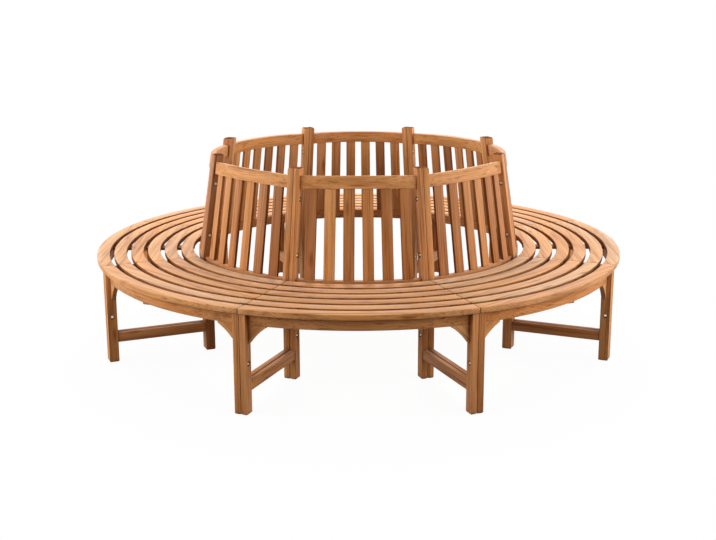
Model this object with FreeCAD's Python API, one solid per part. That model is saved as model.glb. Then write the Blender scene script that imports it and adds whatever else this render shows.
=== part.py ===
# Round tree bench: eight wooden sections bolted leg to leg into a ring around a trunk.
# Millimetres, +Z up, origin on the ground at the centre of the ring.
# Section 1 faces -Y, and the others follow every 45 degrees counter-clockwise.
# One section is modelled along +X, between two joint planes, and then turned into place.

import FreeCAD
import Part
import math
import os

# Ring. The legs of two neighbours are clamped face to face, and their slats stop just short
section_count = 8
seat_outer_radius = 1100.0
seat_height = 395.0
seam_gap = 1.0

# Seat slats
slat_count = 6
slat_width = 51.0
slat_gap = 18.0
slat_thickness = 20.0

# Curved pieces repeat eight times or more, so their curves are drawn as a few short flats
seat_curve_sides = 8
back_curve_sides = 4

# Front legs
leg_thickness = 25.0
front_leg_depth = 38.0
front_leg_set_in = 8.0
foot_chamfer = 3.0

# Back posts, upright below the rear rail and leaning in above it
back_post_depth = 38.0
slat_to_post_gap = 11.0
recline_angle = 8.5
post_height = 812.0
post_top_chamfer = 5.0

# Front apron, curved with the seat
apron_height = 45.0
apron_thickness = 20.0

# Rear seat rail and top rail, each a gentler curve than the seat
back_plan_radius = 780.0
rear_rail_height = 39.0
rear_rail_thickness = 22.0
rear_rail_rise = 4.0
top_rail_height = 48.0
top_rail_thickness = 20.0
post_above_rail = 29.0

# Upright back slats
back_slat_count = 6
back_slat_width = 42.0
back_slat_thickness = 12.0
end_gap_bottom = 28.0
end_gap_top = 22.0
back_slat_housing = 12.0

# Radial seat bearers and floor stretchers
bearer_height = 45.0
bearer_thickness = 19.0
stretcher_height = 38.0
stretcher_thickness = 21.0
stretcher_underside = 81.0

# Corner brackets under the apron
bracket_length = 70.0
bracket_drop = 68.0
bracket_thickness = 18.0
bracket_toe = 9.0
bracket_hollow = 5.0

# Mortise and tenon joints
tenon_length = 14.0
tenon_thickness = 9.0
tenon_shoulder = 4.0
corner_tenon_height = 17.0
mortise_clearance = 0.2
mortise_end_clearance = 1.0

# Bolts that hold two neighbouring sections together, drawn with few sides because they repeat
bolt_sides = 6
bolt_diameter = 6.0
bolt_hole_diameter = 7.0
bolt_head_across_flats = 10.0
bolt_head_height = 5.0
front_bolt_above_stretcher = 69.0
back_bolt_above_stretcher = 56.0
middle_bolt_above_seat = 90.0
top_bolt_below_rail = 40.0

# Worked out from the sizes above
half_angle = 180.0 / section_count
half_turn = math.radians(half_angle)
leg_middle = leg_thickness / 2.0
bolt_head_width = bolt_head_across_flats / math.cos(math.pi / bolt_sides)
seat_underside = seat_height - slat_thickness
seat_inner_radius = seat_outer_radius - slat_count * slat_width - (slat_count - 1) * slat_gap
front_leg_outer = seat_outer_radius - front_leg_set_in
front_leg_inner = front_leg_outer - front_leg_depth
back_post_outer = seat_inner_radius - slat_to_post_gap
back_post_inner = back_post_outer - back_post_depth
back_post_centre = back_post_outer - back_post_depth / 2.0
lean_start = seat_height + rear_rail_rise
lean_slope = math.tan(math.radians(recline_angle))
apron_inner = front_leg_inner
apron_outer = apron_inner + apron_thickness
apron_underside = seat_underside - apron_height
bearer_underside = seat_underside - bearer_height
rail_top = post_height - post_above_rail

# The back panel leans as a plane through the middles of its two posts
panel_slope = lean_slope * math.cos(half_turn)
panel_tilt = math.degrees(math.atan(panel_slope))
panel_stretch = math.sqrt(1.0 + panel_slope ** 2)


def lean_in(height):
    """How far a back post has leaned towards the trunk at a height."""
    return max(0.0, height - lean_start) * lean_slope


def panel_half_width(height):
    """Half the clear width between a section's two posts, at their middles."""
    centre = back_post_centre - lean_in(height)
    return centre * math.sin(half_turn) - leg_thickness * math.cos(half_turn)


def panel_chord(height):
    """Distance from the trunk axis to the chord between the two post middles."""
    centre = back_post_centre - lean_in(height)
    return centre * math.cos(half_turn) + leg_thickness * math.sin(half_turn)


def bulge(offset, half_width):
    """How far a back rail's centre line stands out from its chord, at an offset along it."""
    return math.sqrt(back_plan_radius ** 2 - offset ** 2) - math.sqrt(back_plan_radius ** 2 - half_width ** 2)


def vector(x, y, z):
    return FreeCAD.Vector(x, y, z)


def joint_block(r_low, r_high, t_low, t_high, z_low, z_high, side):
    """A box at one joint: r outwards, t away from the joint plane into the section."""
    y_low = -t_high if side > 0 else t_low
    block = Part.makeBox(r_high - r_low, t_high - t_low, z_high - z_low, vector(r_low, y_low, z_low))
    return turned(block, side * half_angle)


def joint_profile(points, t_low, t_high, side):
    """A closed outline of (r, z) points, drawn out from t_low to t_high at one joint."""
    y_low = -t_high if side > 0 else t_low
    corners = [vector(r, y_low, z) for r, z in points]
    face = Part.Face(Part.makePolygon(corners + corners[:1]))
    return turned(face.extrude(vector(0, t_high - t_low, 0)), side * half_angle)


def turned(shape, angle):
    copy = shape.copy()
    copy.rotate(vector(0, 0, 0), vector(0, 0, 1), angle)
    return copy


def curve(radius, half_sweep, sides):
    """Points of an arc about the origin, from -half_sweep to +half_sweep radians."""
    angles = [half_sweep * (2.0 * step / sides - 1.0) for step in range(sides + 1)]
    return [vector(radius * math.cos(angle), radius * math.sin(angle), 0) for angle in angles]


def curved_bar(r_inner, r_outer, half_sweep, sides, height):
    """A bar between two arcs about the origin, standing on the ground."""
    outline = curve(r_outer, half_sweep, sides) + curve(r_inner, half_sweep, sides)[::-1]
    return Part.Face(Part.makePolygon(outline + outline[:1])).extrude(vector(0, 0, height))


def seat_ring(r_inner, r_outer, z_low, z_high):
    """One section's share of a ring round the trunk, before its ends are trimmed."""
    bar = curved_bar(r_inner, r_outer, half_turn, seat_curve_sides, z_high - z_low)
    bar.translate(vector(0, 0, z_low))
    return bar


def between_joints(shape, offset, z_low, z_high):
    """Trim a shape to the wedge between the two joint planes, each moved in by an offset."""
    reach = seat_outer_radius + slat_width
    tip = offset / math.sin(half_turn)
    far = vector(reach, (reach - tip) * math.tan(half_turn), z_low)
    corners = [vector(tip, 0, z_low), vector(far.x, -far.y, z_low), far]
    wedge = Part.Face(Part.makePolygon(corners + corners[:1])).extrude(vector(0, 0, z_high - z_low))
    return shape.common(wedge)


def mortise_block(r_low, r_high, t_low, t_high, z_low, z_high, side, grow_r, grow_t):
    """The pocket for a tenon: clearance round its cheeks, more at its end."""
    return joint_block(r_low - grow_r[0], r_high + grow_r[1], t_low - grow_t[0], t_high + grow_t[1],
                       z_low - mortise_clearance, z_high + mortise_clearance, side)


# Radial tenons enter a leg from the seat side, and side tenons enter it across the section

def radial_tenon(z_low, z_high, side, front, cut):
    """Tenon of a bearer or stretcher in a front leg or in a back post, or its mortise."""
    t_low = leg_middle - tenon_thickness / 2.0
    t_high = leg_middle + tenon_thickness / 2.0
    face = front_leg_inner if front else back_post_outer
    direction = 1.0 if front else -1.0
    tip = face + direction * tenon_length
    r_low = min(face, tip)
    r_high = max(face, tip)
    if not cut:
        return joint_block(r_low, r_high, t_low, t_high, z_low, z_high, side)
    grow_r = (0.0, mortise_end_clearance) if front else (mortise_end_clearance, 0.0)
    return mortise_block(r_low, r_high, t_low, t_high, z_low, z_high, side, grow_r,
                         (mortise_clearance, mortise_clearance))


def side_tenon(r_middle, z_low, z_high, side, cut, root=0.0):
    """Tenon of an apron or back rail in the side of a leg, or its mortise."""
    r_low = r_middle - tenon_thickness / 2.0
    r_high = r_middle + tenon_thickness / 2.0
    t_low = leg_thickness - tenon_length
    if not cut:
        return joint_block(r_low, r_high, t_low, leg_thickness + root, z_low, z_high, side)
    return mortise_block(r_low, r_high, t_low, leg_thickness, z_low, z_high, side,
                         (mortise_clearance, mortise_clearance), (mortise_end_clearance, 0.0))


def apron_tenon(side, cut, root=0.0):
    z_high = seat_underside - tenon_shoulder
    r_middle = (apron_inner + apron_outer) / 2.0
    return side_tenon(r_middle, z_high - corner_tenon_height, z_high, side, cut, root)


def bearer_tenon(side, front, cut):
    z_low = bearer_underside + tenon_shoulder
    return radial_tenon(z_low, z_low + corner_tenon_height, side, front, cut)


def stretcher_tenon(side, front, cut):
    z_low = stretcher_underside + tenon_shoulder
    z_high = stretcher_underside + stretcher_height - tenon_shoulder
    return radial_tenon(z_low, z_high, side, front, cut)


def rear_rail_tenon(side, cut, root=0.0):
    z_low = lean_start - rear_rail_height + tenon_shoulder
    return side_tenon(back_post_centre, z_low, lean_start - tenon_shoulder, side, cut, root)


def top_rail_tenon(side, cut, root=0.0):
    """The top rail's tenon leans with its post."""
    z_low = rail_top - top_rail_height + tenon_shoulder
    z_high = rail_top - tenon_shoulder
    grow = mortise_clearance if cut else 0.0
    end = mortise_end_clearance if cut else 0.0
    half = tenon_thickness / 2.0 + grow
    points = []
    for z, sign in ((z_low - grow, -1), (z_low - grow, 1), (z_high + grow, 1), (z_high + grow, -1)):
        points.append((back_post_centre - lean_in(z) + sign * half, z))
    return joint_profile(points, leg_thickness - tenon_length - end, leg_thickness + root, side)


# Bolt holes run across both legs of a joint

def bolt_places():
    """The (r, z) place of each bolt at a joint."""
    stretcher_top = stretcher_underside + stretcher_height
    heights = [stretcher_top + back_bolt_above_stretcher, seat_height + middle_bolt_above_seat,
               rail_top - top_rail_height - top_bolt_below_rail]
    places = [(front_leg_outer - front_leg_depth / 2.0, stretcher_top + front_bolt_above_stretcher)]
    places += [(back_post_centre - lean_in(z), z) for z in heights]
    return places


def bolt_stock(width, length):
    """A six-sided bar along +Y, as wide across its corners as the round one it stands for."""
    corners = []
    for step in range(bolt_sides):
        angle = 2.0 * math.pi * step / bolt_sides
        corners.append(vector(width / 2.0 * math.cos(angle), 0, width / 2.0 * math.sin(angle)))
    return Part.Face(Part.makePolygon(corners + corners[:1])).extrude(vector(0, length, 0))


def bolt_hole(r, z, side):
    """Clearance hole straight through one leg."""
    hole = bolt_stock(bolt_hole_diameter, leg_thickness)
    hole.translate(vector(r, 0, z))
    if side > 0:
        hole = hole.mirror(vector(0, 0, 0), vector(0, 1, 0))
    return turned(hole, side * half_angle)


def low_edges(shape, z):
    """Edges that lie flat at a height."""
    return [edge for edge in shape.Edges if all(abs(v.Z - z) < 0.01 for v in edge.Vertexes)]


# Sub-parts of one section

def seat_slats():
    slats = []
    for index in range(slat_count):
        r_outer = seat_outer_radius - index * (slat_width + slat_gap)
        slat = seat_ring(r_outer - slat_width, r_outer, seat_underside, seat_height)
        slats.append(between_joints(slat, seam_gap / 2.0, seat_underside, seat_height))
    return slats


def front_leg(side):
    leg = joint_block(front_leg_inner, front_leg_outer, 0.0, leg_thickness, 0.0, seat_underside, side)
    leg = leg.makeChamfer(foot_chamfer, low_edges(leg, 0.0))
    leg = leg.cut([apron_tenon(side, True), bearer_tenon(side, True, True), stretcher_tenon(side, True, True)])
    r, z = bolt_places()[0]
    return leg.cut(bolt_hole(r, z, side))


def back_post(side):
    lean = lean_in(post_height)
    outline = [(back_post_inner, 0.0), (back_post_outer, 0.0), (back_post_outer, lean_start),
               (back_post_outer - lean, post_height), (back_post_inner - lean, post_height),
               (back_post_inner, lean_start)]
    post = joint_profile(outline, 0.0, leg_thickness, side)
    post = post.makeChamfer(foot_chamfer, low_edges(post, 0.0))
    post = post.makeChamfer(post_top_chamfer, section_side_edges(post, post_height, side))
    post = post.cut([bearer_tenon(side, False, True), stretcher_tenon(side, False, True),
                     rear_rail_tenon(side, True), top_rail_tenon(side, True)])
    return post.cut([bolt_hole(r, z, side) for r, z in bolt_places()[1:]])


def section_side_edges(shape, z, side):
    """The flat edge at a height that runs outwards on the section's side of a leg."""
    across = vector(-math.sin(side * half_turn), math.cos(side * half_turn), 0)
    found = []
    for edge in low_edges(shape, z):
        offsets = [-side * v.Point.dot(across) for v in edge.Vertexes]
        if all(abs(offset - leg_thickness) < 0.01 for offset in offsets):
            found.append(edge)
    return found


def front_apron():
    bar = seat_ring(apron_inner, apron_outer, apron_underside, seat_underside)
    bar = between_joints(bar, leg_thickness, apron_underside, seat_underside)
    return bar.fuse([apron_tenon(side, False, tenon_shoulder) for side in (-1, 1)]).removeSplitter()


def seat_bearer(side):
    t_low = leg_middle - bearer_thickness / 2.0
    bar = joint_block(back_post_outer, front_leg_inner, t_low, t_low + bearer_thickness, bearer_underside,
                      seat_underside, side)
    return bar.fuse([bearer_tenon(side, front, False) for front in (True, False)]).removeSplitter()


def stretcher(side):
    t_low = leg_middle - stretcher_thickness / 2.0
    bar = joint_block(back_post_outer, front_leg_inner, t_low, t_low + stretcher_thickness,
                      stretcher_underside, stretcher_underside + stretcher_height, side)
    return bar.fuse([stretcher_tenon(side, front, False) for front in (True, False)]).removeSplitter()


def corner_bracket(side):
    """Flat plate with a hollow lower edge, seated on the leg and under the apron."""
    r_middle = (apron_inner + apron_outer) / 2.0
    low = apron_underside - bracket_drop
    far = leg_thickness + bracket_length
    toe_side = vector(0, far, apron_underside - bracket_toe)
    toe_leg = vector(0, leg_thickness + bracket_toe, low)
    along = toe_side.sub(toe_leg).normalize()
    inwards = vector(0, -along.z, along.y)
    middle = toe_side.add(toe_leg).multiply(0.5).add(inwards.multiply(bracket_hollow))
    edges = [Part.makeLine(vector(0, leg_thickness, apron_underside), vector(0, far, apron_underside)),
             Part.makeLine(vector(0, far, apron_underside), toe_side),
             Part.Arc(toe_side, middle, toe_leg).toShape(),
             Part.makeLine(toe_leg, vector(0, leg_thickness, low)),
             Part.makeLine(vector(0, leg_thickness, low), vector(0, leg_thickness, apron_underside))]
    plate = Part.Face(Part.Wire(edges)).extrude(vector(bracket_thickness, 0, 0))
    plate.translate(vector(r_middle - bracket_thickness / 2.0, 0, 0))
    if side > 0:
        plate = plate.mirror(vector(0, 0, 0), vector(0, 1, 0))
    return turned(plate, side * half_angle)


def curved_rail(half_width, thickness, length):
    """A back rail about its own centre, standing on its chord, before it leans."""
    half_sweep = math.asin((half_width + leg_thickness) / back_plan_radius)
    bar = curved_bar(back_plan_radius - thickness / 2.0, back_plan_radius + thickness / 2.0, half_sweep,
                     back_curve_sides, length)
    bar.translate(vector(-math.sqrt(back_plan_radius ** 2 - half_width ** 2), 0, 0))
    return bar


def leaned(shape, height):
    """Lean a shape that stands on its chord in to the back panel's plane, from a height up."""
    shape.rotate(vector(0, 0, 0), vector(0, 1, 0), -panel_tilt)
    shape.translate(vector(panel_chord(height), 0, height))
    return shape


def back_slat(index, grow, housing):
    """One upright slat, square to the rails' curve, with both ends housed in them."""
    low = lean_start
    high = rail_top - top_rail_height
    steps = back_slat_count - 1
    place = index / steps - 0.5
    span_low = 2.0 * (panel_half_width(low) - end_gap_bottom) - back_slat_width
    span_high = 2.0 * (panel_half_width(high) - end_gap_top) - back_slat_width
    y_low = place * span_low
    y_high = place * span_high
    x_low = bulge(y_low, panel_half_width(low))
    x_high = bulge(y_high, panel_half_width(high))
    length = (high - low) * panel_stretch
    half_width = back_slat_width / 2.0 + grow
    half_thickness = back_slat_thickness / 2.0 + grow
    slat = Part.makeBox(2.0 * half_thickness, 2.0 * half_width, length + 2.0 * housing,
                        vector(-half_thickness, -half_width, -housing))
    turn = math.degrees(math.asin((y_low + y_high) / 2.0 / back_plan_radius))
    slat = turned(slat, turn)
    slat.rotate(vector(0, 0, 0), vector(1, 0, 0), -math.degrees(math.atan2(y_high - y_low, length)))
    slat.rotate(vector(0, 0, 0), vector(0, 1, 0), math.degrees(math.atan2(x_high - x_low, length)))
    slat.translate(vector(x_low, y_low, 0))
    return leaned(slat, low)


def rear_rail():
    low = lean_start - rear_rail_height
    half_width = panel_half_width(lean_start)
    bar = curved_rail(half_width, rear_rail_thickness, rear_rail_height)
    bar.translate(vector(panel_chord(lean_start), 0, low))
    bar = between_joints(bar, leg_thickness, low, lean_start)
    bar = bar.fuse([rear_rail_tenon(side, False, tenon_shoulder) for side in (-1, 1)]).removeSplitter()
    return bar.cut([back_slat(index, mortise_clearance, back_slat_housing) for index in range(back_slat_count)])


def top_rail():
    low = rail_top - top_rail_height
    half_width = panel_half_width(low + top_rail_height / 2.0)
    bar = curved_rail(half_width, top_rail_thickness, top_rail_height * panel_stretch)
    bar = leaned(bar, low)
    bar = between_joints(bar, leg_thickness, low - top_rail_height, rail_top + top_rail_height)
    bar = bar.fuse([top_rail_tenon(side, False, tenon_shoulder) for side in (-1, 1)]).removeSplitter()
    return bar.cut([back_slat(index, mortise_clearance, back_slat_housing) for index in range(back_slat_count)])


def bolt_and_nut(r, z):
    """A hexagon bolt across one joint plane, with its nut tightened on it."""
    grip = 2.0 * leg_thickness
    shank = bolt_stock(bolt_diameter, grip)
    shank.translate(vector(0, -grip / 2.0, 0))
    head = bolt_stock(bolt_head_width, bolt_head_height)
    head.translate(vector(0, grip / 2.0, 0))
    nut = head.mirror(vector(0, 0, 0), vector(0, 1, 0))
    bolt = shank.fuse([head, nut]).removeSplitter()
    bolt.translate(vector(r, 0, z))
    return turned(bolt, half_angle)


# Write one file per sub-part

def write(name, shapes):
    group = Part.makeCompound(shapes) if len(shapes) > 1 else shapes[0]
    group.exportStep(os.path.join("parts", name + ".step"))


def place(shapes, section):
    """Turn shapes of the section along +X to where a section stands."""
    return [turned(shape, -90.0 + section * 2.0 * half_angle) for shape in shapes]


def main():
    os.makedirs("parts", exist_ok=True)
    section_parts = {
        "seat_slats": seat_slats(),
        "front_apron": [front_apron()],
        "front_legs": [front_leg(side) for side in (-1, 1)],
        "back_posts": [back_post(side) for side in (-1, 1)],
        "rear_seat_rail": [rear_rail()],
        "back_slats": [back_slat(index, 0.0, back_slat_housing) for index in range(back_slat_count)],
        "top_rail": [top_rail()],
    }
    shared_parts = {
        "seat_bearers": [seat_bearer(side) for side in (-1, 1)],
        "floor_stretchers": [stretcher(side) for side in (-1, 1)],
        "corner_brackets": [corner_bracket(side) for side in (-1, 1)],
        "joint_bolts": [bolt_and_nut(r, z) for r, z in bolt_places()],
    }
    for name, shapes in section_parts.items():
        for section in range(section_count):
            write("%s_%d" % (name, section + 1), place(shapes, section))
    for name, shapes in shared_parts.items():
        everywhere = []
        for section in range(section_count):
            everywhere += place(shapes, section)
        write(name, everywhere)


main()
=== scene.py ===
import math
import random

import bpy
import numpy as np
from mathutils import Matrix, Vector


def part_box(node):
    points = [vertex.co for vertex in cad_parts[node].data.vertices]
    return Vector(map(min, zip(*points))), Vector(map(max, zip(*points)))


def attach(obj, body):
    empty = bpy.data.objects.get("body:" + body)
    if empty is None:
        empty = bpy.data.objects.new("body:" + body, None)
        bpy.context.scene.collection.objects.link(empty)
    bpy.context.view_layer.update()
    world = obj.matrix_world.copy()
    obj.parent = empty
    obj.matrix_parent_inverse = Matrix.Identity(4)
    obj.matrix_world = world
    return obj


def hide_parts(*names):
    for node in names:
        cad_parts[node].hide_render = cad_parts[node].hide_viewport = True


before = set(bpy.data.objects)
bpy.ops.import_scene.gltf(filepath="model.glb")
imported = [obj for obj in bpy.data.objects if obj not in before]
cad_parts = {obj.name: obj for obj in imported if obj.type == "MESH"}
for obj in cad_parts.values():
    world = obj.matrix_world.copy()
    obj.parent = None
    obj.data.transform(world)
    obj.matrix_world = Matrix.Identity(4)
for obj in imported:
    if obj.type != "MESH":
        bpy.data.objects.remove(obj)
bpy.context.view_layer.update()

# Round teak tree bench, in metres. One section is made along +X, between two joints, and is then
# turned to each of its eight places. The first section faces -Y.
SECTIONS = 8
HALF = math.pi / SECTIONS
FIRST_BEARING = -90.0
SECTION_ANGLES = [math.radians(FIRST_BEARING + 360.0 / SECTIONS * index) for index in range(SECTIONS)]

# A section's two joints, clockwise and then anticlockwise from its middle as seen from above
SIDES = (-1, 1)

# Read from the frame
RIM_RADIUS = -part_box("seat_slats_1")[0].y
SEAT_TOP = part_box("seat_slats_1")[1].z
SEAT_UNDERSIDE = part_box("seat_slats_1")[0].z
LEAN_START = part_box("rear_seat_rail_1")[1].z
REAR_RAIL_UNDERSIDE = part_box("rear_seat_rail_1")[0].z
APRON_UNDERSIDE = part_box("front_apron_1")[0].z
BEARER_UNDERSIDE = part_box("seat_bearers")[0].z
STRETCHER_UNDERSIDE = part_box("floor_stretchers")[0].z
STRETCHER_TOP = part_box("floor_stretchers")[1].z
POST_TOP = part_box("back_posts_1")[1].z
BRACKET_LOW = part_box("corner_brackets")[0].z

# Seat, whose curves are made of short straight steps
SLATS = 6
SLAT_WIDTH = 0.051
SLAT_GAP = 0.018
SEAM_GAP = 0.002
SEAT_INNER = RIM_RADIUS - SLATS * SLAT_WIDTH - (SLATS - 1) * SLAT_GAP
SEAT_STEPS = 24

# Legs and posts
LEG_THICKNESS = 0.025
RIM_OVERHANG = 0.008
FRONT_LEG_DEPTH = 0.038
FRONT_LEG_OUTER = RIM_RADIUS - RIM_OVERHANG
FRONT_LEG_INNER = FRONT_LEG_OUTER - FRONT_LEG_DEPTH
FRONT_LEG_CENTRE = (FRONT_LEG_INNER + FRONT_LEG_OUTER) / 2
SLAT_TO_POST_GAP = 0.011
POST_DEPTH = 0.038
POST_OUTER = SEAT_INNER - SLAT_TO_POST_GAP
POST_INNER = POST_OUTER - POST_DEPTH
POST_CENTRE = POST_OUTER - POST_DEPTH / 2
RECLINE_DEGREES = 8.5
LEAN_SLOPE = math.tan(math.radians(RECLINE_DEGREES))
FOOT_CHAMFER = 0.003
POST_CORNER = 0.007
POST_CORNER_STEPS = 4

# Rails and apron
APRON_THICKNESS = 0.020
BACK_PLAN_RADIUS = 0.780
REAR_RAIL_THICKNESS = 0.022
TOP_RAIL_THICKNESS = 0.020
TOP_RAIL_HEIGHT = 0.048
POST_ABOVE_RAIL = 0.029
RAIL_TOP = POST_TOP - POST_ABOVE_RAIL
RAIL_STEPS = 16

# Back slats
BACK_SLATS = 6
BACK_SLAT_WIDTH = 0.042
BACK_SLAT_THICKNESS = 0.012
END_GAP_BOTTOM = 0.028
END_GAP_TOP = 0.022
HOUSING = 0.006

# Bearers, stretchers and brackets
BEARER_THICKNESS = 0.019
STRETCHER_THICKNESS = 0.021
BRACKET_LENGTH = 0.070
BRACKET_THICKNESS = 0.018
BRACKET_TOE = 0.004
BRACKET_HOLLOW = 0.005
HOLLOW_SIDES = 96

# Bolts, whose heads and nuts are alike
COUNTERBORE_RADIUS = 0.009
COUNTERBORE_DEPTH = 0.007
WASHER_RADIUS = 0.0062
WASHER_THICKNESS = 0.0012
HEAD_RADIUS = 0.0046
HEAD_HEIGHT = 0.0042
SHANK_RADIUS = 0.0030
SHANK_PAST_HEAD = 0.001
ROUND_SIDES = 20
HEAD_SIDES = 6
SHANK_SIDES = 12
FRONT_BOLT_HEIGHT = 0.188
BACK_BOLT_HEIGHTS = [0.175, 0.485, 0.695]

# Battens under the slats
BATTEN_WIDTH = 0.045
BATTEN_THICKNESS = 0.012
BATTEN_END = 0.004

# Hairline left between the legs of neighbouring sections, on each side of the joint
JOINT_GAP = 0.0006

# How far a slat's sides in a gap go towards the colour of end grain, as painted shade for the gap
PAINTED_GAP_SHADE = 0.75

# How far the rim's outer side goes towards that colour, as painted shade
PAINTED_RIM_SHADE = 0.16

# Faces that go further than this get the sawn finish, which has no sheen
SAWN_LIMIT = 0.5

# How much of a face's normal, from 0 to 1, has to point along an axis for the face to look that way
END_FACING = 0.8
SIDE_FACING = 0.6

# How far the pith lay from a board, how many radians to one side, and how far the figure is shifted
PITH_DISTANCE = (0.10, 0.35)
PITH_BEARING = 0.45
FIGURE_SHIFT = 30

# The share of cells with a knot, what knots multiply the wood's colour by, what end grain and painted
# shade on slats' sides and the rim multiply it by, and how far painted shade reaches out of corners and
# gaps
KNOT_CHANCE = 0.14
KNOT_SHADE = (0.56, 0.42, 0.32, 1)
END_GRAIN_AND_PAINTED_SHADE = (0.34, 0.22, 0.14, 1)
PAINTED_SHADE_REACH = 0.030

# Eased edges, and the angles in degrees above which an edge is eased or stays crisp
ARRIS = 0.0022
FINE_ARRIS = 0.0015
SAWN_ARRIS = 0.0005
METAL_ARRIS = 0.0004
EASE_ANGLE = 35
SAWN_EASE_ANGLE = 60
CRISP_ANGLE = 40

# Heights and distances that differ by less are taken as equal, and points closer than this are joined
NEAR = 0.0001
WELD_DISTANCE = 0.00001

PANEL_SLOPE = LEAN_SLOPE * math.cos(HALF)
PANEL_TILT = math.atan(PANEL_SLOPE)
PANEL_STRETCH = math.sqrt(1 + PANEL_SLOPE ** 2)

random.seed(12)


def lean_in(height):
    """How far the posts have leant in at a height."""
    return max(0.0, height - LEAN_START) * LEAN_SLOPE


def panel_half_width(height):
    """Half the way between a section's two posts at a height."""
    centre = POST_CENTRE - lean_in(height)
    return centre * math.sin(HALF) - LEG_THICKNESS * math.cos(HALF)


def panel_chord(height):
    """How far from the bench's axis the straight line between the two posts passes."""
    centre = POST_CENTRE - lean_in(height)
    return centre * math.cos(HALF) + LEG_THICKNESS * math.sin(HALF)


def bulge(offset, half_width):
    """How far the curved panel stands out from the line between its posts, at an offset sideways."""
    reach = math.sqrt(BACK_PLAN_RADIUS ** 2 - offset ** 2)
    return reach - math.sqrt(BACK_PLAN_RADIUS ** 2 - half_width ** 2)


# Working on one piece at a time

def only(piece):
    bpy.ops.object.select_all(action="DESELECT")
    piece.select_set(True)
    bpy.context.view_layer.objects.active = piece


def settle(piece):
    """Put the piece's place, turn and size into its mesh."""
    only(piece)
    bpy.ops.object.transform_apply(location=True, rotation=True, scale=True)
    return piece


def edit(piece):
    """Open a piece for editing, with all of it selected."""
    only(piece)
    bpy.ops.object.mode_set(mode="EDIT")
    bpy.ops.mesh.select_all(action="SELECT")


def pick(piece, kind, test):
    """Select the edges or faces that pass a test, and leave the piece open for editing."""
    only(piece)
    bpy.ops.object.mode_set(mode="EDIT")
    bpy.ops.mesh.select_mode(type=kind)
    bpy.ops.mesh.select_all(action="DESELECT")
    bpy.ops.object.mode_set(mode="OBJECT")
    mesh = piece.data
    for item in mesh.edges if kind == "EDGE" else mesh.polygons:
        item.select = test([mesh.vertices[index].co for index in item.vertices])
    bpy.ops.object.mode_set(mode="EDIT")


def stop_editing():
    bpy.ops.object.mode_set(mode="OBJECT")


def apply_modifier(piece, modifier):
    only(piece)
    bpy.ops.object.modifier_apply(modifier=modifier.name)


def ease(piece, width=ARRIS, segments=2, limit=EASE_ANGLE):
    """Round over every edge sharper than a limit, as a router or sandpaper leaves it."""
    bevel = piece.modifiers.new("arris", "BEVEL")
    bevel.limit_method = "ANGLE"
    bevel.angle_limit = math.radians(limit)
    bevel.width = width
    bevel.segments = segments
    apply_modifier(piece, bevel)
    bpy.ops.object.shade_smooth_by_angle(angle=math.radians(CRISP_ANGLE))


def just_added(name):
    """The piece that Blender has just added, with its name."""
    piece = bpy.context.active_object
    piece.name = name
    return piece


def plank(name, low, high):
    low, high = Vector(low), Vector(high)
    bpy.ops.mesh.primitive_cube_add(size=1, location=(low + high) / 2, scale=high - low)
    return settle(just_added(name))


def joint_plank(name, r_low, r_high, t_low, t_high, z_low, z_high, side):
    """A plank beside one joint, before it is turned there: r outwards, t into the section."""
    if side > 0:
        t_low, t_high = -t_high, -t_low
    return plank(name, (r_low, t_low, z_low), (r_high, t_high, z_high))


def turn(piece, angle):
    piece.rotation_euler = (0, 0, angle)
    return settle(piece)


def bow(name, r_low, r_high, z_low, z_high, half_sweep, steps, centre_x=0.0):
    """A bar spun round an upright axis on the section's middle line."""
    middle = ((r_low + r_high) / 2, 0, (z_low + z_high) / 2)
    bpy.ops.mesh.primitive_plane_add(size=1, location=middle, rotation=(math.pi / 2, 0, 0))
    piece = just_added(name)
    piece.scale = (r_high - r_low, z_high - z_low, 1)
    settle(piece)
    turn(piece, half_sweep)
    edit(piece)
    bpy.ops.mesh.spin(steps=steps, angle=2 * half_sweep, center=(0, 0, 0), axis=(0, 0, 1))
    bpy.ops.mesh.select_all(action="SELECT")
    bpy.ops.mesh.remove_doubles(threshold=WELD_DISTANCE)
    bpy.ops.mesh.normals_make_consistent(inside=False)
    stop_editing()
    piece.location.x = centre_x
    return settle(piece)


def trim(piece, offset):
    """Saw both ends parallel to the joints, at an offset from them."""
    for side in SIDES:
        outwards = Vector((-math.sin(HALF), side * math.cos(HALF), 0))
        edit(piece)
        bpy.ops.mesh.bisect(plane_co=outwards * -offset, plane_no=outwards,
                            use_fill=True, clear_outer=True)
        stop_editing()


def carve(piece, cutter):
    """Take the cutter's shape out of the piece."""
    cut = piece.modifiers.new("cut", "BOOLEAN")
    cut.operation = "DIFFERENCE"
    cut.object = cutter
    cut.solver = "EXACT"
    apply_modifier(piece, cut)
    bpy.data.objects.remove(cutter)


def rod(name, radius, start, end, sides):
    """A round bar along Y."""
    start, end = Vector(start), Vector(end)
    bpy.ops.mesh.primitive_cylinder_add(vertices=sides, radius=radius, depth=(end - start).length,
                                        location=(start + end) / 2, rotation=(math.pi / 2, 0, 0))
    return settle(just_added(name))


# Grain: each board carries its own lengthways, crossways and upward distances

def stamp(piece, along, darkness):
    """Write the board's grain distances, and how far each face goes towards the colour of end grain,
    for end grain itself or as painted shade.
    """
    mesh = piece.data
    grain = mesh.attributes.new("grain", "FLOAT_VECTOR", "POINT")
    for vertex in mesh.vertices:
        grain.data[vertex.index].vector = along(vertex.co)
    end = mesh.attributes.new("end_grain_and_shade", "FLOAT", "FACE")
    for face in mesh.polygons:
        end.data[face.index].value = darkness(face)
    mesh.attributes.new("tone", "FLOAT", "FACE")
    return piece


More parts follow.
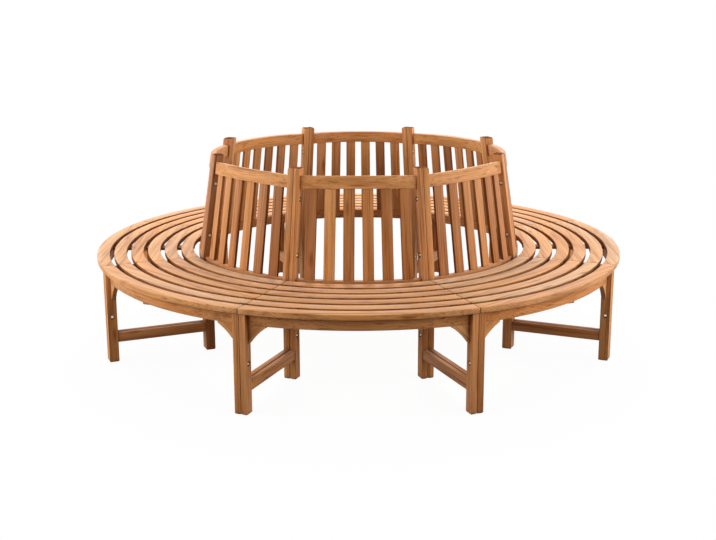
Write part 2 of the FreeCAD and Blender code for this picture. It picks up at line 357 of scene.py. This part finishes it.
def straight_grain(piece, axis, narrow_side=0.0):
    """Grain along a straight axis, with the board's two narrow sides darker by a given share of painted
    shade.
    """
    axis = Vector(axis).normalized()
    up = axis.cross(Vector((0, 1, 0))).normalized()
    side = up.cross(axis)

    def darkness(face):
        if abs(face.normal.dot(axis)) > END_FACING:
            return 1.0
        return narrow_side if abs(face.normal.dot(side)) > SIDE_FACING else 0.0

    return stamp(piece, lambda p: (p.dot(axis), p.dot(side), p.dot(up)), darkness)


def round_grain(piece, inner_side=0.0, outer_side=0.0):
    """Grain of a curve sawn out of a straight board, with its two sawn sides darker by given shares of
    painted shade.
    """
    def darkness(face):
        if abs(face.normal.y) > END_FACING:
            return 1.0
        if abs(face.normal.z) > END_FACING:
            return 0.0
        return outer_side if face.normal.x > 0 else inner_side

    return stamp(piece, lambda p: (p.y, p.x, p.z), darkness)


def twin(piece):
    """A copy with its own mesh."""
    copy = piece.copy()
    copy.data = piece.data.copy()
    bpy.context.scene.collection.objects.link(copy)
    return copy


def discard(patterns):
    for pattern in patterns:
        bpy.data.objects.remove(pattern)


def board_copy(board, name, angle, tone):
    """A copy turned to a section, with a figure of its own and a given tone."""
    copy = twin(board)
    copy.name = name
    pith = random.uniform(*PITH_DISTANCE)
    bearing = random.uniform(-PITH_BEARING, PITH_BEARING)
    along = random.uniform(0, FIGURE_SHIFT)
    shift = np.array([along, pith * math.sin(bearing), pith * math.cos(bearing)])
    grain = copy.data.attributes["grain"]
    values = np.zeros(len(copy.data.vertices) * 3, np.float32)
    grain.data.foreach_get("vector", values)
    values = (values.reshape(-1, 3) + shift).ravel()
    grain.data.foreach_set("vector", values.astype(np.float32))
    faces = len(copy.data.polygons)
    copy.data.attributes["tone"].data.foreach_set("value", np.full(faces, tone, np.float32))
    return turn(copy, angle)


def gather(pieces, name, slot, material, *nodes):
    """Join copies into one piece that stands for its nodes."""
    bpy.ops.object.select_all(action="DESELECT")
    for piece in pieces:
        piece.select_set(True)
    bpy.context.view_layer.objects.active = pieces[0]
    if len(pieces) > 1:
        bpy.ops.object.join()
    whole = pieces[0]
    whole.name = name
    whole.data.name = name
    whole.data.materials.clear()
    whole.data.materials.append(material)
    if material == teak:
        whole.data.materials.append(sawn_teak)
        end = whole.data.attributes["end_grain_and_shade"]
        for face in whole.data.polygons:
            face.material_index = 1 if end.data[face.index].value > SAWN_LIMIT else 0
    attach(whole, "root")
    if nodes:
        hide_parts(*nodes)


def pair(make):
    """The same board at each of a section's two joints."""
    return [make(side) for side in SIDES]


def build_sections(boards, name, node, tones, chosen=None):
    """One piece for each section, in random tones or in those chosen for a section's number."""
    for number, angle in enumerate(SECTION_ANGLES, start=1):
        mixed = [random.uniform(*tones) for board in boards]
        if chosen and number in chosen:
            mixed = chosen[number]
        copies = [board_copy(board, "%s_board" % name, angle, tone)
                  for board, tone in zip(boards, mixed)]
        gather(copies, "%s_%d" % (name, number), "oiled_hardwood", teak, "%s_%d" % (node, number))
    discard(boards)


def build_ring(boards, name, tones, *nodes):
    """One piece for the whole ring."""
    copies = [board_copy(board, "%s_board" % name, angle, random.uniform(*tones))
              for angle in SECTION_ANGLES for board in boards]
    gather(copies, name, "oiled_hardwood", teak, *nodes)
    discard(boards)


# Materials

def node_tree(name):
    material = bpy.data.materials.new(name)
    material.use_nodes = True
    return material, material.node_tree.nodes, material.node_tree.links


def mapped_noise(nodes, links, vector, scale, detail, roughness=0.5):
    """Noise with a scale of its own along each axis."""
    mapping = nodes.new("ShaderNodeMapping")
    mapping.inputs["Scale"].default_value = scale
    links.new(vector, mapping.inputs["Vector"])
    noise = nodes.new("ShaderNodeTexNoise")
    noise.inputs["Scale"].default_value = 1.0
    noise.inputs["Detail"].default_value = detail
    noise.inputs["Roughness"].default_value = roughness
    links.new(mapping.outputs["Vector"], noise.inputs["Vector"])
    return noise.outputs["Fac"]


def attribute(nodes, name):
    """A value or vector that the mesh carries."""
    node = nodes.new("ShaderNodeAttribute")
    node.attribute_name = name
    return node.outputs


def rescale(nodes, links, value, source, target):
    """The value moved from one range to another, and held within it."""
    node = nodes.new("ShaderNodeMapRange")
    for socket, number in zip(("From Min", "From Max", "To Min", "To Max"), source + target):
        node.inputs[socket].default_value = number
    links.new(value, node.inputs["Value"])
    return node.outputs["Result"]


def ramp(nodes, links, value, stops):
    node = nodes.new("ShaderNodeValToRGB")
    node.color_ramp.elements[0].position, node.color_ramp.elements[0].color = stops[0]
    node.color_ramp.elements[1].position, node.color_ramp.elements[1].color = stops[-1]
    for position, colour in stops[1:-1]:
        node.color_ramp.elements.new(position).color = colour
    links.new(value, node.inputs["Fac"])
    return node.outputs["Color"]


def multiply(nodes, links, factor, first, second):
    """The first colour multiplied by the second, as far as the factor goes."""
    node = nodes.new("ShaderNodeMix")
    node.data_type = "RGBA"
    node.blend_type = "MULTIPLY"
    if isinstance(factor, float):
        node.inputs["Factor"].default_value = factor
    else:
        links.new(factor, node.inputs["Factor"])
    links.new(first, node.inputs["A"])
    if isinstance(second, tuple):
        node.inputs["B"].default_value = second
    else:
        links.new(second, node.inputs["B"])
    return node.outputs["Result"]


def tint(nodes, links, colour, strength, value, stops):
    """The colour multiplied by a ramp over a value."""
    return multiply(nodes, links, strength, colour, ramp(nodes, links, value, stops))


def calculate(nodes, links, operation, first, second, third=None):
    node = nodes.new("ShaderNodeMath")
    node.operation = operation
    for socket, value in zip(node.inputs, (first, second, third)):
        if value is None:
            continue
        if isinstance(value, float):
            socket.default_value = value
        else:
            links.new(value, socket)
    return node.outputs["Value"]


def growth_rings(nodes, links, vector):
    """Rings round a pith that leans a little from the board, so that flat faces show long arches."""
    mapping = nodes.new("ShaderNodeMapping")
    mapping.inputs["Rotation"].default_value = (0, math.radians(0.8), math.radians(0.8))
    mapping.inputs["Scale"].default_value = (0.10, 1, 1)
    links.new(vector, mapping.inputs["Vector"])
    rings = nodes.new("ShaderNodeTexWave")
    rings.wave_type = "RINGS"
    rings.rings_direction = "X"
    rings.wave_profile = "SAW"
    rings.inputs["Scale"].default_value = 62.0
    rings.inputs["Distortion"].default_value = 7.0
    rings.inputs["Detail"].default_value = 3.0
    rings.inputs["Detail Scale"].default_value = 0.30
    rings.inputs["Detail Roughness"].default_value = 0.55
    links.new(mapping.outputs["Vector"], rings.inputs["Vector"])
    return rings.outputs["Fac"]


def knots(nodes, links, vector):
    """1 in the middle of a knot, 0 away from it. Only about one cell in seven has one."""
    mapping = nodes.new("ShaderNodeMapping")
    mapping.inputs["Scale"].default_value = (8.0, 30.0, 30.0)
    links.new(vector, mapping.inputs["Vector"])
    cells = nodes.new("ShaderNodeTexVoronoi")
    cells.inputs["Scale"].default_value = 1.0
    links.new(mapping.outputs["Vector"], cells.inputs["Vector"])
    spread = rescale(nodes, links, cells.outputs["Distance"], (0.06, 0.34), (1.0, 0.0))
    chance = nodes.new("ShaderNodeSeparateColor")
    links.new(cells.outputs["Color"], chance.inputs["Color"])
    chosen = calculate(nodes, links, "LESS_THAN", chance.outputs["Red"], KNOT_CHANCE)
    return calculate(nodes, links, "MULTIPLY", spread, chosen)


def make_teak(name, specular, sheen):
    """Teak with noises stretched along the grain: their scales count per metre along, across and up."""
    material, nodes, links = node_tree(name)
    shader = nodes["Principled BSDF"]
    shader.inputs["Specular IOR Level"].default_value = specular
    shader.inputs["Sheen Weight"].default_value = sheen
    shader.inputs["Sheen Roughness"].default_value = 0.42
    shader.inputs["Sheen Tint"].default_value = (1.0, 0.90, 0.78, 1)

    grain = attribute(nodes, "grain")["Vector"]
    end = attribute(nodes, "end_grain_and_shade")["Fac"]
    tone = attribute(nodes, "tone")["Fac"]

    figure = mapped_noise(nodes, links, grain, (1.6, 42.0, 42.0), 3.0)
    hue = mapped_noise(nodes, links, grain, (1.1, 9.0, 9.0), 2.0)
    heart = mapped_noise(nodes, links, grain, (2.6, 16.0, 16.0), 3.0, 0.6)
    bands = mapped_noise(nodes, links, grain, (3.0, 190.0, 190.0), 3.0, 0.6)
    fibres = mapped_noise(nodes, links, grain, (16.0, 1100.0, 1100.0), 2.0, 0.6)
    pores = mapped_noise(nodes, links, grain, (90.0, 2600.0, 2600.0), 1.0)
    rings = growth_rings(nodes, links, grain)

    colour = ramp(nodes, links, tone, [
        (0.0, (0.290, 0.110, 0.033, 1)),
        (0.25, (0.416, 0.169, 0.053, 1)),
        (0.5, (0.533, 0.228, 0.075, 1)),
        (0.75, (0.655, 0.300, 0.102, 1)),
        (0.88, (0.735, 0.358, 0.125, 1)),
        (1.0, (0.715, 0.425, 0.218, 1))])
    colour = tint(nodes, links, colour, 1.0, figure, [
        (0.28, (0.66, 0.55, 0.44, 1)),
        (0.48, (0.98, 0.97, 0.96, 1)),
        (0.72, (1.12, 1.13, 1.14, 1))])
    colour = tint(nodes, links, colour, 0.6, heart, [
        (0.58, (1.0, 1.0, 1.0, 1)),
        (0.70, (0.76, 0.68, 0.62, 1))])
    colour = tint(nodes, links, colour, 1.0, hue, [
        (0.30, (1.04, 0.93, 0.78, 1)),
        (0.50, (1.0, 1.0, 1.0, 1)),
        (0.70, (1.00, 1.03, 1.28, 1))])
    colour = tint(nodes, links, colour, 0.55, rings, [
        (0.0, (0.72, 0.62, 0.54, 1)),
        (0.30, (0.95, 0.93, 0.90, 1)),
        (0.65, (1.05, 1.05, 1.05, 1)),
        (1.0, (1.0, 0.99, 0.97, 1))])
    colour = tint(nodes, links, colour, 1.0, bands, [
        (0.30, (0.52, 0.39, 0.29, 1)),
        (0.45, (1.0, 1.0, 1.0, 1)),
        (0.80, (1.12, 1.11, 1.09, 1))])
    colour = tint(nodes, links, colour, 0.8, fibres, [
        (0.25, (0.76, 0.70, 0.66, 1)),
        (0.75, (1.12, 1.12, 1.12, 1))])
    colour = tint(nodes, links, colour, 0.5, pores, [
        (0.30, (0.55, 0.45, 0.38, 1)),
        (0.38, (1.0, 1.0, 1.0, 1))])
    colour = multiply(nodes, links, knots(nodes, links, grain), colour, KNOT_SHADE)
    # End grain's own darker colour; the same multiply paints shade on slats' sides in gaps and on the
    # rim's outer side
    colour = multiply(nodes, links, end, colour, END_GRAIN_AND_PAINTED_SHADE)
    # Painted shade: the colour darkens where other surfaces are near, in corners, gaps and joints
    painted_shade = nodes.new("ShaderNodeAmbientOcclusion")
    painted_shade.samples = 6
    painted_shade.inputs["Distance"].default_value = PAINTED_SHADE_REACH
    colour = tint(nodes, links, colour, 1.0, painted_shade.outputs["AO"], [
        (0.15, (0.42, 0.32, 0.25, 1)),
        (0.70, (1.0, 1.0, 1.0, 1))])
    links.new(colour, shader.inputs["Base Color"])

    gloss = rescale(nodes, links, bands, (0.0, 1.0), (0.68, 0.48))
    dullness = calculate(nodes, links, "MULTIPLY_ADD", end, 0.3, gloss)
    links.new(dullness, shader.inputs["Roughness"])

    height = calculate(nodes, links, "MULTIPLY_ADD", fibres, 0.5, bands)
    bump = nodes.new("ShaderNodeBump")
    bump.inputs["Strength"].default_value = 0.3
    bump.inputs["Distance"].default_value = 0.0006
    links.new(height, bump.inputs["Height"])
    links.new(bump.outputs["Normal"], shader.inputs["Normal"])
    return material


def make_bolt_steel():
    material, nodes, links = node_tree("zinc_plated_steel")
    shader = nodes["Principled BSDF"]
    shader.inputs["Base Color"].default_value = (0.80, 0.68, 0.50, 1)
    shader.inputs["Metallic"].default_value = 1.0
    place = nodes.new("ShaderNodeTexCoord")
    mottle = mapped_noise(nodes, links, place.outputs["Object"], (500.0, 500.0, 500.0), 3.0)
    gloss = rescale(nodes, links, mottle, (0.0, 1.0), (0.25, 0.5))
    links.new(gloss, shader.inputs["Roughness"])
    return material


teak = make_teak("oiled_teak", specular=0.16, sheen=0.17)
sawn_teak = make_teak("sawn_teak", specular=0.05, sheen=0.0)
bolt_steel = make_bolt_steel()


# Seat

def seat_slats():
    boards = []
    for index in range(SLATS):
        outer = RIM_RADIUS - index * (SLAT_WIDTH + SLAT_GAP)
        inner = outer - SLAT_WIDTH
        board = bow("seat_slat", inner, outer, SEAT_UNDERSIDE, SEAT_TOP, HALF, SEAT_STEPS)
        ease(board)
        trim(board, SEAM_GAP / 2)
        ease(board, SAWN_ARRIS, segments=1, limit=SAWN_EASE_ANGLE)
        boards.append(round_grain(board, PAINTED_GAP_SHADE, PAINTED_GAP_SHADE if index else PAINTED_RIM_SHADE))
    return boards


def front_apron():
    outer = FRONT_LEG_INNER + APRON_THICKNESS
    board = bow("apron", FRONT_LEG_INNER, outer, APRON_UNDERSIDE, SEAT_UNDERSIDE, HALF, SEAT_STEPS)
    trim(board, LEG_THICKNESS)
    ease(board, FINE_ARRIS)
    return [round_grain(board)]


# Legs and posts

def counterbore(r, z, side):
    """The recess for a bolt's head or nut, on the section's side of a leg."""
    start = LEG_THICKNESS - COUNTERBORE_DEPTH
    end = LEG_THICKNESS + COUNTERBORE_DEPTH
    return rod("counterbore", COUNTERBORE_RADIUS,
               (r, -side * start, z), (r, -side * end, z), ROUND_SIDES)


def chamfer_foot(piece):
    pick(piece, "EDGE", lambda corners: all(corner.z < NEAR for corner in corners))
    bpy.ops.mesh.bevel(offset=FOOT_CHAMFER, segments=1)
    stop_editing()


def front_leg(side):
    leg = joint_plank("front_leg", FRONT_LEG_INNER, FRONT_LEG_OUTER, JOINT_GAP, LEG_THICKNESS,
                      0, SEAT_UNDERSIDE, side)
    chamfer_foot(leg)
    carve(leg, counterbore(FRONT_LEG_CENTRE, FRONT_BOLT_HEIGHT, side))
    ease(leg, FINE_ARRIS)
    straight_grain(leg, (0, 0, 1))
    return turn(leg, side * HALF)


def leaning_grain(post):
    """Grain that follows the post, up to the lean and on along it."""
    def along(p):
        return p.z, p.y, p.x + lean_in(p.z)

    def darkness(face):
        return 1.0 if abs(face.normal.z) > END_FACING else 0.0

    return stamp(post, along, darkness)


def back_post(side):
    """Post that leans from the rear rail's top up, its top corner rounded on the section's side."""
    def under_lean(corners):
        return all(corner.z > LEAN_START - NEAR for corner in corners)

    def top_corner(corners):
        return all(corner.z > POST_TOP - NEAR and -side * corner.y > LEG_THICKNESS - NEAR
                   for corner in corners)

    post = joint_plank("back_post", POST_INNER, POST_OUTER, JOINT_GAP, LEG_THICKNESS,
                       0, LEAN_START, side)
    pick(post, "FACE", under_lean)
    rise = (-lean_in(POST_TOP), 0, POST_TOP - LEAN_START)
    bpy.ops.mesh.extrude_region_move(TRANSFORM_OT_translate={"value": rise})
    stop_editing()
    chamfer_foot(post)
    pick(post, "EDGE", top_corner)
    bpy.ops.mesh.bevel(offset=POST_CORNER, segments=POST_CORNER_STEPS)
    stop_editing()
    for z in BACK_BOLT_HEIGHTS:
        carve(post, counterbore(POST_CENTRE - lean_in(z), z, side))
    ease(post, FINE_ARRIS)
    leaning_grain(post)
    return turn(post, side * HALF)


# Rails and back slats

def lean(piece, height):
    """Lean a piece that stands on its chord in to the panel's plane, from a height up."""
    piece.rotation_euler = (0, -PANEL_TILT, 0)
    piece.location = (panel_chord(height), 0, height)
    return settle(piece)


def curved_rail(name, half_width, thickness, length):
    """A rail that stands on its chord, a leg's thickness too long at both ends for the saw."""
    sweep = math.asin((half_width + LEG_THICKNESS) / BACK_PLAN_RADIUS)
    centre = -math.sqrt(BACK_PLAN_RADIUS ** 2 - half_width ** 2)
    r_low = BACK_PLAN_RADIUS - thickness / 2
    r_high = BACK_PLAN_RADIUS + thickness / 2
    return bow(name, r_low, r_high, 0, length, sweep, RAIL_STEPS, centre)


def rear_rail():
    rail = curved_rail("rear_rail", panel_half_width(LEAN_START), REAR_RAIL_THICKNESS,
                       LEAN_START - REAR_RAIL_UNDERSIDE)
    rail.location = (panel_chord(LEAN_START), 0, REAR_RAIL_UNDERSIDE)
    settle(rail)
    trim(rail, LEG_THICKNESS)
    ease(rail)
    return [round_grain(rail)]


def top_rail():
    low = RAIL_TOP - TOP_RAIL_HEIGHT
    half_width = panel_half_width(low + TOP_RAIL_HEIGHT / 2)
    rail = curved_rail("top_rail", half_width, TOP_RAIL_THICKNESS, TOP_RAIL_HEIGHT * PANEL_STRETCH)
    lean(rail, low)
    trim(rail, LEG_THICKNESS)
    ease(rail)
    return [round_grain(rail)]


def back_slat(index):
    """One of the fanned slats, square to the panel's curve and housed in both rails."""
    low = LEAN_START
    high = RAIL_TOP - TOP_RAIL_HEIGHT
    place = index / (BACK_SLATS - 1) - 0.5
    y_low = place * (2 * (panel_half_width(low) - END_GAP_BOTTOM) - BACK_SLAT_WIDTH)
    y_high = place * (2 * (panel_half_width(high) - END_GAP_TOP) - BACK_SLAT_WIDTH)
    x_low = bulge(y_low, panel_half_width(low))
    x_high = bulge(y_high, panel_half_width(high))
    length = (high - low) * PANEL_STRETCH
    half_depth = BACK_SLAT_THICKNESS / 2
    half_width = BACK_SLAT_WIDTH / 2
    slat = plank("back_slat", (-half_depth, -half_width, -HOUSING),
                 (half_depth, half_width, length + HOUSING))
    ease(slat)
    straight_grain(slat, (0, 0, 1), PAINTED_GAP_SHADE)
    square = Matrix.Rotation(math.asin((y_low + y_high) / 2 / BACK_PLAN_RADIUS), 4, "Z")
    splay = Matrix.Rotation(-math.atan2(y_high - y_low, length), 4, "X")
    tip = Matrix.Rotation(math.atan2(x_high - x_low, length), 4, "Y")
    slat.matrix_world = Matrix.Translation((x_low, y_low, 0)) @ tip @ splay @ square
    settle(slat)
    return lean(slat, low)


# Bearers, stretchers and brackets

def radial_bar(name, thickness, z_low, z_high, side):
    """A bar from a front leg to its post, in the middle of their thickness."""
    t_low = (LEG_THICKNESS - thickness) / 2
    bar = joint_plank(name, POST_OUTER, FRONT_LEG_INNER, t_low, t_low + thickness, z_low, z_high, side)
    ease(bar)
    straight_grain(bar, (1, 0, 0))
    return turn(bar, side * HALF)


def batten(t_low, side):
    """Flat strip screwed up under the six slats, from the apron to just short of the inner edge."""
    strip = joint_plank("batten", SEAT_INNER + BATTEN_END, FRONT_LEG_INNER,
                        t_low, t_low + BATTEN_WIDTH,
                        SEAT_UNDERSIDE - BATTEN_THICKNESS, SEAT_UNDERSIDE, side)
    ease(strip, FINE_ARRIS)
    return straight_grain(strip, (1, 0, 0))


def middle_batten():
    return batten(-BATTEN_WIDTH / 2, 1)


def end_batten(side):
    return turn(batten(LEG_THICKNESS, side), side * HALF)


def corner_bracket(side):
    """Plate with its long edge sawn to a hollow, seated on the leg and under the apron."""
    r_middle = FRONT_LEG_INNER + APRON_THICKNESS / 2
    t_far = LEG_THICKNESS + BRACKET_LENGTH
    plate = joint_plank("bracket", r_middle - BRACKET_THICKNESS / 2, r_middle + BRACKET_THICKNESS / 2,
                        LEG_THICKNESS, t_far, BRACKET_LOW, APRON_UNDERSIDE, side)
    toe_side = Vector((r_middle, -side * t_far, APRON_UNDERSIDE - BRACKET_TOE))
    toe_leg = Vector((r_middle, -side * (LEG_THICKNESS + BRACKET_TOE), BRACKET_LOW))
    chord = toe_side - toe_leg
    radius = (chord.length ** 2 / 4 + BRACKET_HOLLOW ** 2) / (2 * BRACKET_HOLLOW)
    away = Vector((0, chord.z, -chord.y)).normalized()
    if away.z > 0:
        away = -away
    centre = (toe_side + toe_leg) / 2 + away * (radius - BRACKET_HOLLOW)
    bpy.ops.mesh.primitive_cylinder_add(vertices=HOLLOW_SIDES, radius=radius,
                                        depth=4 * BRACKET_THICKNESS,
                                        location=centre, rotation=(0, math.pi / 2, 0))
    carve(plate, settle(just_added("hollow")))
    ease(plate, FINE_ARRIS)
    straight_grain(plate, chord)
    return turn(plate, side * HALF)


# Bolts

def bolt(r, z):
    """Head and nut with their washers, each at the bottom of its counterbore."""
    floor = LEG_THICKNESS - COUNTERBORE_DEPTH
    washer_top = floor + WASHER_THICKNESS
    head_top = washer_top + HEAD_HEIGHT
    tip = head_top + SHANK_PAST_HEAD
    stack = [("washer", WASHER_RADIUS, floor, washer_top, ROUND_SIDES),
             ("head", HEAD_RADIUS, washer_top, head_top, HEAD_SIDES),
             ("shank", SHANK_RADIUS, head_top, tip, SHANK_SIDES)]
    parts = [rod(name, radius, (r, -side * low, z), (r, -side * high, z), sides)
             for side in SIDES for name, radius, low, high, sides in stack]
    for part in parts:
        ease(part, METAL_ARRIS, segments=1)
    return parts


def joint_bolts():
    places = [(FRONT_LEG_CENTRE, FRONT_BOLT_HEIGHT)]
    places += [(POST_CENTRE - lean_in(z), z) for z in BACK_BOLT_HEIGHTS]
    pattern = [part for r, z in places for part in bolt(r, z)]
    copies = [turn(twin(part), angle + HALF) for angle in SECTION_ANGLES for part in pattern]
    gather(copies, "joint_bolts_fitted", "bolt_steel", bolt_steel, "joint_bolts")
    discard(pattern)


def bearer(side):
    return radial_bar("bearer", BEARER_THICKNESS, BEARER_UNDERSIDE, SEAT_UNDERSIDE, side)


def stretcher(side):
    return radial_bar("stretcher", STRETCHER_THICKNESS, STRETCHER_UNDERSIDE, STRETCHER_TOP, side)


# Tones go from 0, dark, to 1, pale. As the camera sees them, section 1 is in front, with section 2
# on its right and section 8 on its left.
build_sections(seat_slats(), "seat_boards", "seat_slats", (0.84, 1.0),
               {1: [0.89, 0.82, 0.87, 0.78, 0.86, 0.80]})
build_sections(front_apron(), "apron_board", "front_apron", (0.60, 0.88), {1: [0.60]})
build_sections(pair(front_leg), "front_leg_pair", "front_legs", (0.46, 0.70))
build_sections(pair(back_post), "back_post_pair", "back_posts", (0.50, 0.85), {8: [0.12, 0.80]})
build_sections(rear_rail(), "rear_rail_board", "rear_seat_rail", (0.30, 0.50))
build_sections([back_slat(index) for index in range(BACK_SLATS)], "back_boards", "back_slats",
               (0.16, 0.76), {1: [0.34, 0.84, 0.38, 0.56, 0.34, 0.36]})
build_sections(top_rail(), "top_rail_board", "top_rail", (0.65, 0.90),
               {1: [0.82], 2: [0.84], 8: [0.88]})
build_ring(pair(bearer), "bearer_boards", (0.2, 0.6), "seat_bearers")
build_ring(pair(stretcher), "stretcher_boards", (0.36, 0.66), "floor_stretchers")
build_ring(pair(corner_bracket), "bracket_boards", (0.74, 0.90), "corner_brackets")
build_ring([middle_batten()] + pair(end_batten), "slat_battens", (0.2, 0.6))
joint_bolts()


# Floor, light and camera

FLOOR_SIZE = 80
LAMP_AIM = (0, 0, 0.4)
LAMP_SIZE = 2.4
WORLD_LIGHT = 0.05

# Between these distances from the bench's axis the shadow on the floor fades out
SHADOW_FADE = (1.0, 1.7)

# The viewpoint, with its lens and sensor in millimetres, and its tilt and roll in degrees
CAMERA_PLACE = (-0.0022, -4.8575, 1.5294)
CAMERA_LENS = 58.21
CAMERA_SENSOR = 36.0
CAMERA_SHIFT = -0.0200
CAMERA_DOWN = 13.858
CAMERA_ROLL = -0.173


def seen_directly(nodes, links):
    """1 for what the camera sees, also by way of a reflection or through glass."""
    rays = nodes.new("ShaderNodeLightPath").outputs
    seen = calculate(nodes, links, "MAXIMUM", rays["Is Camera Ray"], rays["Is Glossy Ray"])
    return calculate(nodes, links, "MAXIMUM", seen, rays["Is Transmission Ray"])


def make_floor():
    """Pale floor that shows white, with a faint shadow that fades out round the bench."""
    bpy.ops.mesh.primitive_plane_add(size=FLOOR_SIZE, location=(0, 0, 0))
    floor = just_added("studio_floor")
    material, nodes, links = node_tree("pale_floor")
    nodes.remove(nodes["Principled BSDF"])
    seen = seen_directly(nodes, links)
    pale = ramp(nodes, links, seen, [(0.0, (0.16, 0.158, 0.155, 1)), (1.0, (0.90, 0.90, 0.90, 1))])
    matte = nodes.new("ShaderNodeBsdfDiffuse")
    links.new(pale, matte.inputs["Color"])
    glow = nodes.new("ShaderNodeEmission")
    glow.inputs["Color"].default_value = (1, 1, 1, 1)
    glow.inputs["Strength"].default_value = 1.0
    place = nodes.new("ShaderNodeTexCoord")
    distance = nodes.new("ShaderNodeVectorMath")
    distance.operation = "LENGTH"
    links.new(place.outputs["Object"], distance.inputs[0])
    fade = rescale(nodes, links, distance.outputs["Value"], SHADOW_FADE, (0.95, 1.0))
    share = calculate(nodes, links, "MULTIPLY", seen, fade)
    mix = nodes.new("ShaderNodeMixShader")
    links.new(share, mix.inputs["Fac"])
    links.new(matte.outputs["BSDF"], mix.inputs[1])
    links.new(glow.outputs["Emission"], mix.inputs[2])
    links.new(mix.outputs["Shader"], nodes["Material Output"].inputs["Surface"])
    floor.data.materials.append(material)


def make_world():
    world = bpy.data.worlds.new("studio_white")
    bpy.context.scene.world = world
    world.use_nodes = True
    nodes, links = world.node_tree.nodes, world.node_tree.links
    light = nodes["Background"]
    light.inputs["Color"].default_value = (1.0, 0.99, 0.975, 1)
    light.inputs["Strength"].default_value = WORLD_LIGHT
    backdrop = nodes.new("ShaderNodeBackground")
    backdrop.inputs["Color"].default_value = (1, 1, 1, 1)
    mix = nodes.new("ShaderNodeMixShader")
    links.new(seen_directly(nodes, links), mix.inputs["Fac"])
    links.new(light.outputs["Background"], mix.inputs[1])
    links.new(backdrop.outputs["Background"], mix.inputs[2])
    links.new(mix.outputs["Shader"], nodes["World Output"].inputs["Surface"])


def area_light(name, place, power, colour):
    """A square lamp that faces the middle of the bench."""
    data = bpy.data.lights.new(name, "AREA")
    data.shape = "RECTANGLE"
    data.size, data.size_y = LAMP_SIZE, LAMP_SIZE
    data.energy = power
    data.color = colour
    lamp = bpy.data.objects.new(name, data)
    bpy.context.scene.collection.objects.link(lamp)
    lamp.location = place
    lamp.rotation_euler = (Vector(LAMP_AIM) - Vector(place)).to_track_quat("-Z", "Y").to_euler()


def make_camera():
    data = bpy.data.cameras.new("viewpoint")
    camera = bpy.data.objects.new("viewpoint", data)
    bpy.context.scene.collection.objects.link(camera)
    data.sensor_width = CAMERA_SENSOR
    data.lens = CAMERA_LENS
    data.shift_y = CAMERA_SHIFT
    camera.location = CAMERA_PLACE
    tilt = Matrix.Rotation(math.radians(90 - CAMERA_DOWN), 3, "X")
    roll = Matrix.Rotation(math.radians(CAMERA_ROLL), 3, "Z")
    camera.rotation_euler = (tilt @ roll).to_euler()
    bpy.context.scene.camera = camera


make_floor()
make_world()
area_light("back_softbox", (0, 3.15, 3.75), 170, (1.0, 0.945, 0.86))
for side in SIDES:
    area_light("side_softbox", (side * 4.53, -0.80, 1.68), 118, (0.95, 1.0, 1.08))
    area_light("front_softbox", (side * 3.40, -2.86, 2.07), 80, (1.0, 0.97, 0.93))
    area_light("rear_softbox", (side * 3.48, 2.92, 1.84), 91, (0.97, 1.0, 1.03))
make_camera()

bpy.context.scene.view_settings.view_transform = "Standard"
